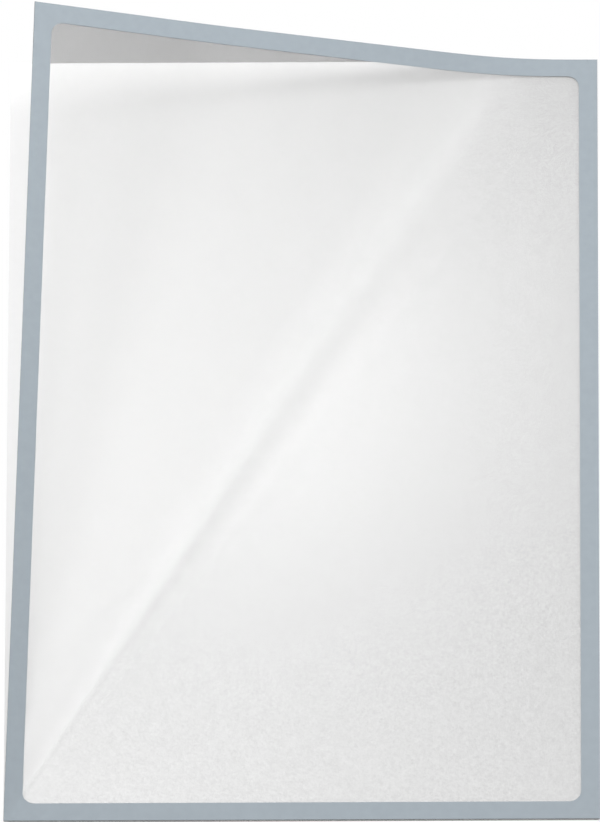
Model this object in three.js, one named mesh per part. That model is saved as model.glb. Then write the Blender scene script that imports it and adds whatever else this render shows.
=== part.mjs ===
// A magnetic display frame for one A4 sheet: a white rear panel with magnet strips behind it, and a
// clear cover with a printed border and magnet strips of its own, hinged along its right edge.
// The cover is lifted at its top left corner, bent as a cone about a point off its bottom left corner.
// It lies on its back: x runs across, y up the sheet and z out of the front.
import * as THREE from 'three';
import { mergeVertices } from 'three/addons/utils/BufferGeometryUtils.js';

// Driving sizes, in millimetres and degrees.
const width = 224;
const height = 319;
const borderWidth = 7.1;
const windowCornerRadius = 4.5;
const rearStripWidth = 12;
const rearStripInset = 2;
const rearStripThickness = 0.7;
const panelThickness = 0.5;
const hingeTapeThickness = 0.1;
const coverStripInset = 0.4;
const coverStripThickness = 0.6;
const glueLine = 0.05;
const filmThickness = 0.25;
const printThickness = 0.12;
const stripEndGap = 0.3;

// The lifted corner: where the rulings of the cone meet, and its two soft bends, the firm one first.
// Each is given by its middle and half spread about that point and by the angle that it turns.
const coneTip = new THREE.Vector2(-2.5, -6);
const bends = [
  { middle: 4.2, halfSpread: 4.2, turn: 21.7, folds: 12 },
  { middle: 21.5, halfSpread: 4, turn: 3.3, folds: 4 },
];

// The stack of layers, from the back of the rear strips to the front of the print.
const panelBack = rearStripThickness;
const tapeBack = panelBack + panelThickness;
const coverStripBack = tapeBack + hingeTapeThickness;
const filmBack = coverStripBack + coverStripThickness + glueLine;
const filmMiddle = filmBack + filmThickness / 2;
const printBack = filmBack + filmThickness + glueLine;

const radians = THREE.MathUtils.degToRad;

// The cover stays flat below the ruling that runs to its top right corner.
const holdAngle = Math.atan2(height - coneTip.y, width - coneTip.x);

// One fold for each equal share of a bend's turn, spread so that the bend starts and ends softly.
function foldsOfBend(bend) {
  const list = [];
  for (let i = 0; i < bend.folds; i += 1) {
    const share = (i + 0.5) / bend.folds;
    const place = Math.asin(2 * share - 1) / (Math.PI / 2);
    const angle = holdAngle + radians(bend.middle + bend.halfSpread * place);
    list.push({ angle, turn: radians(bend.turn) / bend.folds });
  }
  return list;
}

const folds = bends.flatMap(foldsOfBend);

// The turn of each facet between two folds, as a matrix about the cone's tip.
const facetTurns = [new THREE.Matrix4()];
for (const fold of folds) {
  const ruling = new THREE.Vector3(Math.cos(fold.angle), Math.sin(fold.angle), 0);
  const turn = new THREE.Matrix4().makeRotationAxis(ruling, fold.turn);
  facetTurns.push(facetTurns[facetTurns.length - 1].clone().multiply(turn));
}

const onFold = 1e-5;

// The signed distance of a flat point from a fold's ruling.
function distanceFromFold(point, fold) {
  const x = point.x - coneTip.x;
  const y = point.y - coneTip.y;
  return y * Math.cos(fold.angle) - x * Math.sin(fold.angle);
}

// Bends one flat point. Its height off the film's middle is kept square to the facet,
// and a point on a fold lies in the mitre plane between its two facets.
function bendPoint(point) {
  const distances = folds.map((fold) => distanceFromFold(point, fold));
  const facet = distances.filter((distance) => distance > onFold).length;
  const onNext = facet < folds.length && Math.abs(distances[facet]) <= onFold;
  const inPlane = new THREE.Vector3(point.x - coneTip.x, point.y - coneTip.y, 0);
  const normal = new THREE.Vector3(0, 0, 1).transformDirection(facetTurns[facet]);
  if (onNext) {
    const nextNormal = new THREE.Vector3(0, 0, 1).transformDirection(facetTurns[facet + 1]);
    const sharpness = 1 + normal.dot(nextNormal);
    normal.add(nextNormal).divideScalar(sharpness);
  }
  const bent = inPlane.applyMatrix4(facetTurns[facet]);
  bent.addScaledVector(normal, point.z - filmMiddle);
  return bent.add(new THREE.Vector3(coneTip.x, coneTip.y, filmMiddle));
}

// The point where an edge crosses a fold, the same whichever way the edge runs.
function crossing(a, b, fold) {
  const forward = a.x < b.x || (a.x === b.x && (a.y < b.y || (a.y === b.y && a.z < b.z)));
  const start = forward ? a : b;
  const end = forward ? b : a;
  const startDistance = distanceFromFold(start, fold);
  const endDistance = distanceFromFold(end, fold);
  return start.clone().lerp(end, startDistance / (startDistance - endDistance));
}

// Cuts one triangle along a fold into one, two or three.
function splitTriangle(triangle, fold) {
  const sides = triangle.map((point) => {
    const distance = distanceFromFold(point, fold);
    return Math.abs(distance) <= onFold ? 0 : Math.sign(distance);
  });
  if (!sides.includes(1) || !sides.includes(-1)) {
    return [triangle];
  }
  const first = sides.includes(0)
    ? sides.indexOf(0)
    : sides.findIndex((side) => sides.filter((other) => other === side).length === 1);
  const a = triangle[first];
  const b = triangle[(first + 1) % 3];
  const c = triangle[(first + 2) % 3];
  if (sides.includes(0)) {
    const middle = crossing(b, c, fold);
    return [[a, b, middle], [a, middle, c]];
  }
  const ab = crossing(a, b, fold);
  const ac = crossing(a, c, fold);
  return [[a, ab, ac], [ab, b, c], [ab, c, ac]];
}

function trianglesOf(geometry) {
  const flat = geometry.index ? geometry.toNonIndexed() : geometry;
  const positions = flat.attributes.position;
  const list = [];
  for (let i = 0; i < positions.count; i += 3) {
    list.push([0, 1, 2].map((k) => new THREE.Vector3().fromBufferAttribute(positions, i + k)));
  }
  return list;
}

function geometryOf(triangles) {
  const geometry = new THREE.BufferGeometry().setFromPoints(triangles.flat());
  const merged = mergeVertices(geometry, 1e-4);
  const shaded = merged.toNonIndexed();
  shaded.computeVertexNormals();
  return shaded;
}

// Scores a flat layer along every fold and folds it up.
function bendGeometry(geometry) {
  let triangles = trianglesOf(geometry);
  for (const fold of folds) {
    triangles = triangles.flatMap((triangle) => splitTriangle(triangle, fold));
  }
  const bent = triangles.map((triangle) => triangle.map(bendPoint));
  return geometryOf(bent);
}

function rectangle(left, bottom, right, top) {
  const shape = new THREE.Shape();
  shape.moveTo(left, bottom);
  shape.lineTo(right, bottom);
  shape.lineTo(right, top);
  shape.lineTo(left, top);
  shape.closePath();
  return shape;
}

function roundedHole(left, bottom, right, top, radius) {
  const hole = new THREE.Path();
  hole.moveTo(left + radius, bottom);
  hole.lineTo(right - radius, bottom);
  hole.absarc(right - radius, bottom + radius, radius, -Math.PI / 2, 0, false);
  hole.lineTo(right, top - radius);
  hole.absarc(right - radius, top - radius, radius, 0, Math.PI / 2, false);
  hole.lineTo(left + radius, top);
  hole.absarc(left + radius, top - radius, radius, Math.PI / 2, Math.PI, false);
  hole.lineTo(left, bottom + radius);
  hole.absarc(left + radius, bottom + radius, radius, Math.PI, 1.5 * Math.PI, false);
  return hole;
}

// A flat layer of a shape, its back face at the given height.
function layer(shape, back, thickness) {
  const geometry = new THREE.ExtrudeGeometry(shape, { depth: thickness, bevelEnabled: false, curveSegments: 8 });
  geometry.translate(0, 0, back);
  return geometry;
}

const materials = {
  film: { color: 0xf2f5f6, roughness: 0.45, metalness: 0, transparent: true, opacity: 0.35 },
  print: { color: 0xacb5bc, roughness: 0.6, metalness: 0 },
  magnet: { color: 0x4a4a4c, roughness: 0.8, metalness: 0 },
  panel: { color: 0xf4f5f5, roughness: 0.55, metalness: 0 },
  tape: { color: 0xe8eaea, roughness: 0.4, metalness: 0 },
};

const displayFrame = new THREE.Group();

function addPiece(name, geometry, material) {
  const mesh = new THREE.Mesh(geometry, new THREE.MeshStandardMaterial(materials[material]));
  mesh.name = name;
  displayFrame.add(mesh);
}

function flatPiece(name, shape, back, thickness, material) {
  addPiece(name, geometryOf(trianglesOf(layer(shape, back, thickness))), material);
}

function bentPiece(name, shape, back, thickness, material) {
  addPiece(name, bendGeometry(layer(shape, back, thickness)), material);
}

// Four strips around the edge: the upright ones run full height and the others fit between them.
function edgeStrips(inset, stripWidth) {
  const innerLeft = inset + stripWidth;
  const innerRight = width - inset - stripWidth;
  const acrossLeft = innerLeft + stripEndGap;
  const acrossRight = innerRight - stripEndGap;
  return {
    left: rectangle(inset, inset, innerLeft, height - inset),
    right: rectangle(innerRight, inset, width - inset, height - inset),
    bottom: rectangle(acrossLeft, inset, acrossRight, inset + stripWidth),
    top: rectangle(acrossLeft, height - inset - stripWidth, acrossRight, height - inset),
  };
}

// The rear part, which stays flat.
for (const [side, shape] of Object.entries(edgeStrips(rearStripInset, rearStripWidth))) {
  flatPiece(`rear_strip_${side}`, shape, 0, rearStripThickness, 'magnet');
}
flatPiece('rear_panel', rectangle(0, 0, width, height), panelBack, panelThickness, 'panel');

// The tape that joins the cover's right strip to the rear panel.
const coverStripWidth = borderWidth - 2 * coverStripInset;
const coverStrips = edgeStrips(coverStripInset, coverStripWidth);
const tapeLeft = width - coverStripInset - coverStripWidth;
const tapeShape = rectangle(tapeLeft, coverStripInset, width - coverStripInset, height - coverStripInset);
flatPiece('hinge_tape', tapeShape, tapeBack, hingeTapeThickness, 'tape');

// The cover, bent up at its top left corner.
for (const [side, shape] of Object.entries(coverStrips)) {
  bentPiece(`cover_strip_${side}`, shape, coverStripBack, coverStripThickness, 'magnet');
}
bentPiece('cover_film', rectangle(0, 0, width, height), filmBack, filmThickness, 'film');
const printShape = rectangle(0, 0, width, height);
printShape.holes.push(roundedHole(
  borderWidth,
  borderWidth,
  width - borderWidth,
  height - borderWidth,
  windowCornerRadius,
));
bentPiece('cover_border', printShape, printBack, printThickness, 'print');

// The origin is at the middle of the back, on the surface that the rear strips lie on.
displayFrame.position.set(-width / 2, -height / 2, 0);

export default displayFrame;
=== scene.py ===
import bpy
import math
from mathutils import Matrix, Vector


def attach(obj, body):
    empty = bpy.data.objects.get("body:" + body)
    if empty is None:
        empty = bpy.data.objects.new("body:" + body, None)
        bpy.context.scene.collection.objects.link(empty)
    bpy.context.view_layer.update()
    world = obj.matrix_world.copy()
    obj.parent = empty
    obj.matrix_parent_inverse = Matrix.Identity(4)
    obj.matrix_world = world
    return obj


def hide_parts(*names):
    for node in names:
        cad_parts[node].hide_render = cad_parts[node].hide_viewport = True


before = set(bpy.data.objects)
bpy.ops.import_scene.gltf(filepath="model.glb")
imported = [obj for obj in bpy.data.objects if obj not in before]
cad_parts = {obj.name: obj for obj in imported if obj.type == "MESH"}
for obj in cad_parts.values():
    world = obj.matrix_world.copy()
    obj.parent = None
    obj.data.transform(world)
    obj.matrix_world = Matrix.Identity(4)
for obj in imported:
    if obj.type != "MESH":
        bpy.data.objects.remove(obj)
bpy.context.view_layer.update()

MM = 0.001

# Sizes of the frame, in millimetres, as the CAD part has them. The sheet's own coordinates run from
# its bottom left corner: x across, y up and z out of the front.
WIDTH = 224.0
HEIGHT = 319.0
BORDER_WIDTH = 7.1
WINDOW_CORNER_RADIUS = 4.5
FILM_BACK = 1.95
FILM_THICKNESS = 0.25
GLUE_LINE = 0.05
PRINT_THICKNESS = 0.12
FILM_MIDDLE = FILM_BACK + FILM_THICKNESS / 2
PRINT_BACK = FILM_BACK + FILM_THICKNESS + GLUE_LINE

# The lifted corner is a cone about a point off the bottom left corner, bent in two soft bends.
# Each bend has its middle and half spread in degrees above the hold line, and the angle it turns.
CONE_TIP = Vector((-2.5, -6.0))
HOLD_ANGLE = math.atan2(HEIGHT - CONE_TIP.y, WIDTH - CONE_TIP.x)
BENDS = (
    (4.2, 4.2, 21.7),
    (21.5, 4.0, 3.3),
)
BEND_STEPS = 600
SPAN_PAST_LEFT_EDGE = math.radians(5)


def share_of_bend(angle, middle, half_spread):
    """How much of a bend lies below an angle, from 0 to 1, with a soft start and end."""
    place = max(-1.0, min(1.0, (angle - middle) / half_spread))
    return (1 + math.sin(place * math.pi / 2)) / 2


def turned_by(angle):
    return sum(math.radians(turn) * share_of_bend(angle, middle, spread) for middle, spread, turn in BENDS)


def make_turns():
    """The turn of the sheet about the cone's tip at each of many angles above the hold line."""
    span = math.pi / 2 - HOLD_ANGLE + SPAN_PAST_LEFT_EDGE
    turns = [Matrix.Identity(3)]
    for step in range(BEND_STEPS):
        low = span * step / BEND_STEPS
        high = span * (step + 1) / BEND_STEPS
        middle = HOLD_ANGLE + (low + high) / 2
        ruling = Vector((math.cos(middle), math.sin(middle), 0))
        turn = turned_by(math.degrees(high)) - turned_by(math.degrees(low))
        turns.append(turns[-1] @ Matrix.Rotation(turn, 3, ruling))
    return span, turns


SPAN, TURNS = make_turns()


def bend(x, y, z):
    """A point of the flat sheet, in millimetres, where the lifted sheet has it, in metres."""
    angle = math.atan2(y - CONE_TIP.y, x - CONE_TIP.x) - HOLD_ANGLE
    place = max(0.0, min(1.0, angle / SPAN)) * BEND_STEPS
    low = min(int(place), BEND_STEPS - 1)
    flat = Vector((x - CONE_TIP.x, y - CONE_TIP.y, z - FILM_MIDDLE))
    bent = (TURNS[low] @ flat).lerp(TURNS[low + 1] @ flat, place - low)
    bent += Vector((CONE_TIP.x, CONE_TIP.y, FILM_MIDDLE))
    return MM * (bent - Vector((WIDTH / 2, HEIGHT / 2, 0)))


SHARP_EDGE = math.radians(40)


def new_piece(name, points, faces, material):
    mesh = bpy.data.meshes.new(name)
    mesh.from_pydata(points, [], faces)
    mesh.validate()
    mesh.update()
    for face in mesh.polygons:
        face.use_smooth = True
    piece = bpy.data.objects.new(name, mesh)
    bpy.context.scene.collection.objects.link(piece)
    mesh.materials.append(material)
    sharp = piece.modifiers.new("edges", "EDGE_SPLIT")
    sharp.split_angle = SHARP_EDGE
    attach(piece, "root")
    return piece


# Materials
def new_material(name):
    material = bpy.data.materials.new(name)
    material.use_nodes = True
    tree = material.node_tree
    shader = tree.nodes["Principled BSDF"]
    return material, tree, shader


def add_grain(tree, shader, scale, strength, distance, detail=3.0):
    """A fine even grain as bump, in object coordinates."""
    place = tree.nodes.new("ShaderNodeTexCoord")
    noise = tree.nodes.new("ShaderNodeTexNoise")
    noise.inputs["Scale"].default_value = scale
    noise.inputs["Detail"].default_value = detail
    bump = tree.nodes.new("ShaderNodeBump")
    bump.inputs["Strength"].default_value = strength
    bump.inputs["Distance"].default_value = distance
    tree.links.new(place.outputs["Object"], noise.inputs["Vector"])
    tree.links.new(noise.outputs["Fac"], bump.inputs["Height"])
    tree.links.new(bump.outputs["Normal"], shader.inputs["Normal"])


def vary_colour(tree, shader, socket, low, high, scale, spread=0.2):
    """Mottles a colour or value socket between two values; a smaller spread is a harder mottle."""
    place = tree.nodes.new("ShaderNodeTexCoord")
    noise = tree.nodes.new("ShaderNodeTexNoise")
    noise.inputs["Scale"].default_value = scale
    ramp = tree.nodes.new("ShaderNodeValToRGB")
    ramp.color_ramp.elements[0].position = 0.5 - spread
    ramp.color_ramp.elements[0].color = low
    ramp.color_ramp.elements[1].position = 0.5 + spread
    ramp.color_ramp.elements[1].color = high
    tree.links.new(place.outputs["Object"], noise.inputs["Vector"])
    tree.links.new(noise.outputs["Fac"], ramp.inputs["Fac"])
    tree.links.new(ramp.outputs["Color"], shader.inputs[socket])


def grey(level):
    return (level, level, level, 1.0)


def linear(red, green, blue):
    """A colour written in 0 to 255, as the linear colour that a shader takes."""
    def one(value):
        share = value / 255
        return share / 12.92 if share <= 0.04045 else ((share + 0.055) / 1.055) ** 2.4
    return (one(red), one(green), one(blue), 1.0)


def film_material():
    """Clear matt film: mostly see-through, with a fine anti-glare grain that catches the light."""
    material, tree, shader = new_material("matt_clear_film")
    shader.inputs["Roughness"].default_value = 0.34
    shader.inputs["IOR"].default_value = 2.6
    shader.inputs["Specular IOR Level"].default_value = 1.0
    vary_colour(tree, shader, "Alpha", grey(0.28), grey(0.34), scale=1200)
    add_grain(tree, shader, scale=1000, strength=0.12, distance=0.0002, detail=2.0)
    vary_colour(tree, shader, "Base Color", grey(0.1), grey(0.3), scale=1100, spread=0.08)
    material.blend_method = "BLEND"
    return material


def print_material():
    """The border's smooth matt grey-blue."""
    material, tree, shader = new_material("grey_blue_border")
    shader.inputs["Roughness"].default_value = 0.7
    shader.inputs["Specular IOR Level"].default_value = 0.1
    add_grain(tree, shader, scale=1800, strength=0.12, distance=0.00003)
    vary_colour(tree, shader, "Base Color", linear(154, 163, 170), linear(157, 166, 173), scale=300)
    return material


def panel_material():
    """The rear panel's satin white plastic."""
    material, tree, shader = new_material("white_panel")
    shader.inputs["Roughness"].default_value = 0.5
    add_grain(tree, shader, scale=900, strength=0.08, distance=0.00004)
    vary_colour(tree, shader, "Base Color", grey(0.93), grey(0.94), scale=400)
    return material


def magnet_material(name, low, high):
    """Dull magnetic rubber with a slightly pebbled face, mottled between two greys."""
    material, tree, shader = new_material(name)
    shader.inputs["Roughness"].default_value = 0.75
    add_grain(tree, shader, scale=1200, strength=0.3, distance=0.00008, detail=5.0)
    vary_colour(tree, shader, "Base Color", grey(low), grey(high), scale=260)
    return material


def tape_material():
    material, tree, shader = new_material("white_tape")
    shader.inputs["Roughness"].default_value = 0.4
    add_grain(tree, shader, scale=700, strength=0.1, distance=0.00004)
    vary_colour(tree, shader, "Base Color", grey(0.78), grey(0.84), scale=120)
    return material


FILM = film_material()
PRINT = print_material()
PANEL = panel_material()
REAR_MAGNET = magnet_material("magnetic_rubber", 0.06, 0.08)
COVER_MAGNET = magnet_material("pale_magnetic_rubber", 0.72, 0.78)
TAPE = tape_material()


def dress(node, material):
    """Gives a CAD node that stays its material."""
    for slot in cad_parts[node].material_slots:
        slot.material = material


for side in ("left", "right", "bottom", "top"):
    dress(f"rear_strip_{side}", REAR_MAGNET)
    dress(f"cover_strip_{side}", COVER_MAGNET)
dress("rear_panel", PANEL)
dress("hinge_tape", TAPE)


# The film: one fine closed sheet
FILM_COLUMNS = 150
FILM_ROWS = 210


def film_piece():
    points = []
    for z in (FILM_BACK, FILM_BACK + FILM_THICKNESS):
        for row in range(FILM_ROWS + 1):
            for column in range(FILM_COLUMNS + 1):
                points.append(bend(WIDTH * column / FILM_COLUMNS, HEIGHT * row / FILM_ROWS, z))
    across = FILM_COLUMNS + 1
    layer = across * (FILM_ROWS + 1)
    faces = []
    for row in range(FILM_ROWS):
        for column in range(FILM_COLUMNS):
            corner = row * across + column
            back = [corner, corner + across, corner + across + 1, corner + 1]
            faces.append(back)
            faces.append([layer + i for i in reversed(back)])
    last_row = FILM_ROWS * across
    edge = list(range(FILM_COLUMNS))
    edge += [row * across + FILM_COLUMNS for row in range(FILM_ROWS)]
    edge += [last_row + column for column in range(FILM_COLUMNS, 0, -1)]
    edge += [row * across for row in range(FILM_ROWS, 0, -1)]
    for start, end in zip(edge, edge[1:] + edge[:1]):
        faces.append([start, end, layer + end, layer + start])
    piece = new_piece("clear_film", points, faces, FILM)
    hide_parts("cover_film")


# The border: a ring between the sheet's square corners and the window's round ones
EDGE_STEP = 2.0
CORNER_STEPS = 12
RING_STEPS = 3


def window_outline():
    """Pairs of points round the window: one on its edge and the one beyond it on the sheet's edge."""
    near = BORDER_WIDTH
    right = WIDTH - BORDER_WIDTH
    top = HEIGHT - BORDER_WIDTH
    radius = WINDOW_CORNER_RADIUS
    corners = (
        (right - radius, near + radius, WIDTH, 0.0, -90),
        (right - radius, top - radius, WIDTH, HEIGHT, 0),
        (near + radius, top - radius, 0.0, HEIGHT, 90),
        (near + radius, near + radius, 0.0, 0.0, 180),
    )
    pairs = []
    for centre_x, centre_y, corner_x, corner_y, start in corners:
        for step in range(CORNER_STEPS + 1):
            share = step / CORNER_STEPS
            angle = math.radians(start + 90 * share)
            inner = Vector((centre_x + radius * math.cos(angle), centre_y + radius * math.sin(angle)))
            outer = edge_point(centre_x, centre_y, corner_x, corner_y, start, share)
            pairs.append((inner, outer))
    return fill_sides(pairs)


def edge_point(centre_x, centre_y, corner_x, corner_y, start, share):
    """The outer partner of a corner point: along one edge to the corner, then along the next."""
    starts_on_level_edge = start in (-90, 90)
    reach = abs(1 - 2 * share)
    before_corner = share <= 0.5
    if starts_on_level_edge == before_corner:
        return Vector((corner_x + (centre_x - corner_x) * reach, corner_y))
    return Vector((corner_x, corner_y + (centre_y - corner_y) * reach))


def fill_sides(pairs):
    """Adds even steps along the straight sides, between the corners."""
    full = []
    for (inner, outer), (next_inner, next_outer) in zip(pairs, pairs[1:] + pairs[:1]):
        steps = max(1, round((next_inner - inner).length / EDGE_STEP))
        for step in range(steps):
            share = step / steps
            full.append((inner.lerp(next_inner, share), outer.lerp(next_outer, share)))
    return full


def border_piece():
    pairs = window_outline()
    points = []
    for z in (PRINT_BACK, PRINT_BACK + PRINT_THICKNESS):
        for inner, outer in pairs:
            for step in range(RING_STEPS + 1):
                place = inner.lerp(outer, step / RING_STEPS)
                points.append(bend(place.x, place.y, z))
    across = RING_STEPS + 1
    layer = across * len(pairs)
    faces = []
    for index in range(len(pairs)):
        here = index * across
        there = (index + 1) % len(pairs) * across
        for step in range(RING_STEPS):
            front = [here + step, here + step + 1, there + step + 1, there + step]
            faces.append([layer + i for i in front])
            faces.append(list(reversed(front)))
        for step, is_outer in ((0, False), (RING_STEPS, True)):
            side = [here + step, there + step, layer + there + step, layer + here + step]
            faces.append(side if is_outer else list(reversed(side)))
    piece = new_piece("printed_border", points, faces, PRINT)
    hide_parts("cover_border")


film_piece()
border_piece()


# The floor is white where the camera sees it directly, and dark where it shows through the film
FLOOR_SIZE = 6.0
FLOOR_HEIGHT = -0.0002
FLOOR_GREY = 0.05


def floor():
    bpy.ops.mesh.primitive_plane_add(size=FLOOR_SIZE, location=(0, 0, FLOOR_HEIGHT))
    plane = bpy.context.object
    plane.name = "floor"
    material, tree, shader = new_material("floor")
    shader.inputs["Base Color"].default_value = grey(FLOOR_GREY)
    shader.inputs["Roughness"].default_value = 0.9
    shader.inputs["Specular IOR Level"].default_value = 0.0
    path = tree.nodes.new("ShaderNodeLightPath")
    clear = tree.nodes.new("ShaderNodeMath")
    clear.operation = "LESS_THAN"
    clear.inputs[1].default_value = 0.5
    seen = tree.nodes.new("ShaderNodeMath")
    seen.operation = "MULTIPLY"
    white = tree.nodes.new("ShaderNodeEmission")
    mix = tree.nodes.new("ShaderNodeMixShader")
    output = tree.nodes["Material Output"]
    tree.links.new(path.outputs["Transparent Depth"], clear.inputs[0])
    tree.links.new(path.outputs["Is Camera Ray"], seen.inputs[0])
    tree.links.new(clear.outputs["Value"], seen.inputs[1])
    tree.links.new(seen.outputs["Value"], mix.inputs["Fac"])
    tree.links.new(shader.outputs["BSDF"], mix.inputs[1])
    tree.links.new(white.outputs["Emission"], mix.inputs[2])
    tree.links.new(mix.outputs["Shader"], output.inputs["Surface"])
    plane.data.materials.append(material)


floor()


# Light: an even world, three soft lamps that light everything, and five more that the film mirrors
WORLD_LEVEL = 0.43


def lamp(name, size, power, place, aim):
    light = bpy.data.lights.new(name, "AREA")
    light.shape = "DISK"
    light.size = size
    light.energy = power
    lamp_object = bpy.data.objects.new(name, light)
    lamp_object.location = place
    direction = Vector(aim) - Vector(place)
    lamp_object.rotation_euler = direction.to_track_quat("-Z", "Y").to_euler()
    bpy.context.scene.collection.objects.link(lamp_object)


# Each lamp has its size in metres, its power in watts, its place and what it is aimed at.
LAMPS = {
    "key": (0.5, 5.9, (-0.25, 0.25, 1.5), (0, 0, 0)),
    "side": (0.5, 1.15, (-0.9, -0.1, 0.7), (-0.1, 0, 0)),
    "front": (0.5, 2.3, (-0.2, -0.6, 1.3), (0, 0, 0)),
    "sheen_low": (0.16, 0.18, (-0.04, 0.19, 0.36), (-0.04, 0.011, 0)),
    "sheen_right": (0.2, 0.15, (0.05, 0.27, 0.4), (0.05, 0.075, 0)),
    "sheen_middle": (0.5, 5.0, (0.81, 0.71, 2.8), (0, 0, 0)),
    "sheen_high": (0.5, 2.05, (0.5, 0.06, 0.85), (-0.05, 0.04, 0.03)),
    "sheen_side": (0.4, 0.44, (0.3, -0.05, 0.8), (-0.05, -0.03, 0.02)),
}
for lamp_name, lamp_values in LAMPS.items():
    lamp(lamp_name, *lamp_values)

world = bpy.data.worlds.new("studio")
bpy.context.scene.world = world
world.use_nodes = True
world.node_tree.nodes["Background"].inputs["Color"].default_value = grey(1.0)
world.node_tree.nodes["Background"].inputs["Strength"].default_value = WORLD_LEVEL


# The camera, by its tilt, turn and roll from straight above the middle of the sheet
CAMERA_TILT = math.radians(25.911)
CAMERA_TURN = math.radians(-0.979)
CAMERA_ROLL = math.radians(-0.178)
CAMERA_DISTANCE = 8.0
PIXELS_PER_MM = 2.6416
AIM = (-1.1, 10.83)
IMAGE_HEIGHT = 822
SENSOR_SIZE = 36.0
FARTHEST_SEEN = 100.0


def camera():
    data = bpy.data.cameras.new("camera")
    data.sensor_width = SENSOR_SIZE
    data.lens = PIXELS_PER_MM * CAMERA_DISTANCE / MM * data.sensor_width / IMAGE_HEIGHT
    data.clip_end = FARTHEST_SEEN
    turn = (
        Matrix.Rotation(CAMERA_ROLL, 3, "Z")
        @ Matrix.Rotation(-CAMERA_TILT, 3, "X")
        @ Matrix.Rotation(CAMERA_TURN, 3, "Y")
    ).transposed()
    place = turn @ Vector((AIM[0] * MM, AIM[1] * MM, CAMERA_DISTANCE))
    viewer = bpy.data.objects.new("camera", data)
    viewer.matrix_world = Matrix.Translation(place) @ turn.to_4x4()
    bpy.context.scene.collection.objects.link(viewer)
    bpy.context.scene.camera = viewer


camera()

bpy.context.scene.view_settings.view_transform = "Standard"
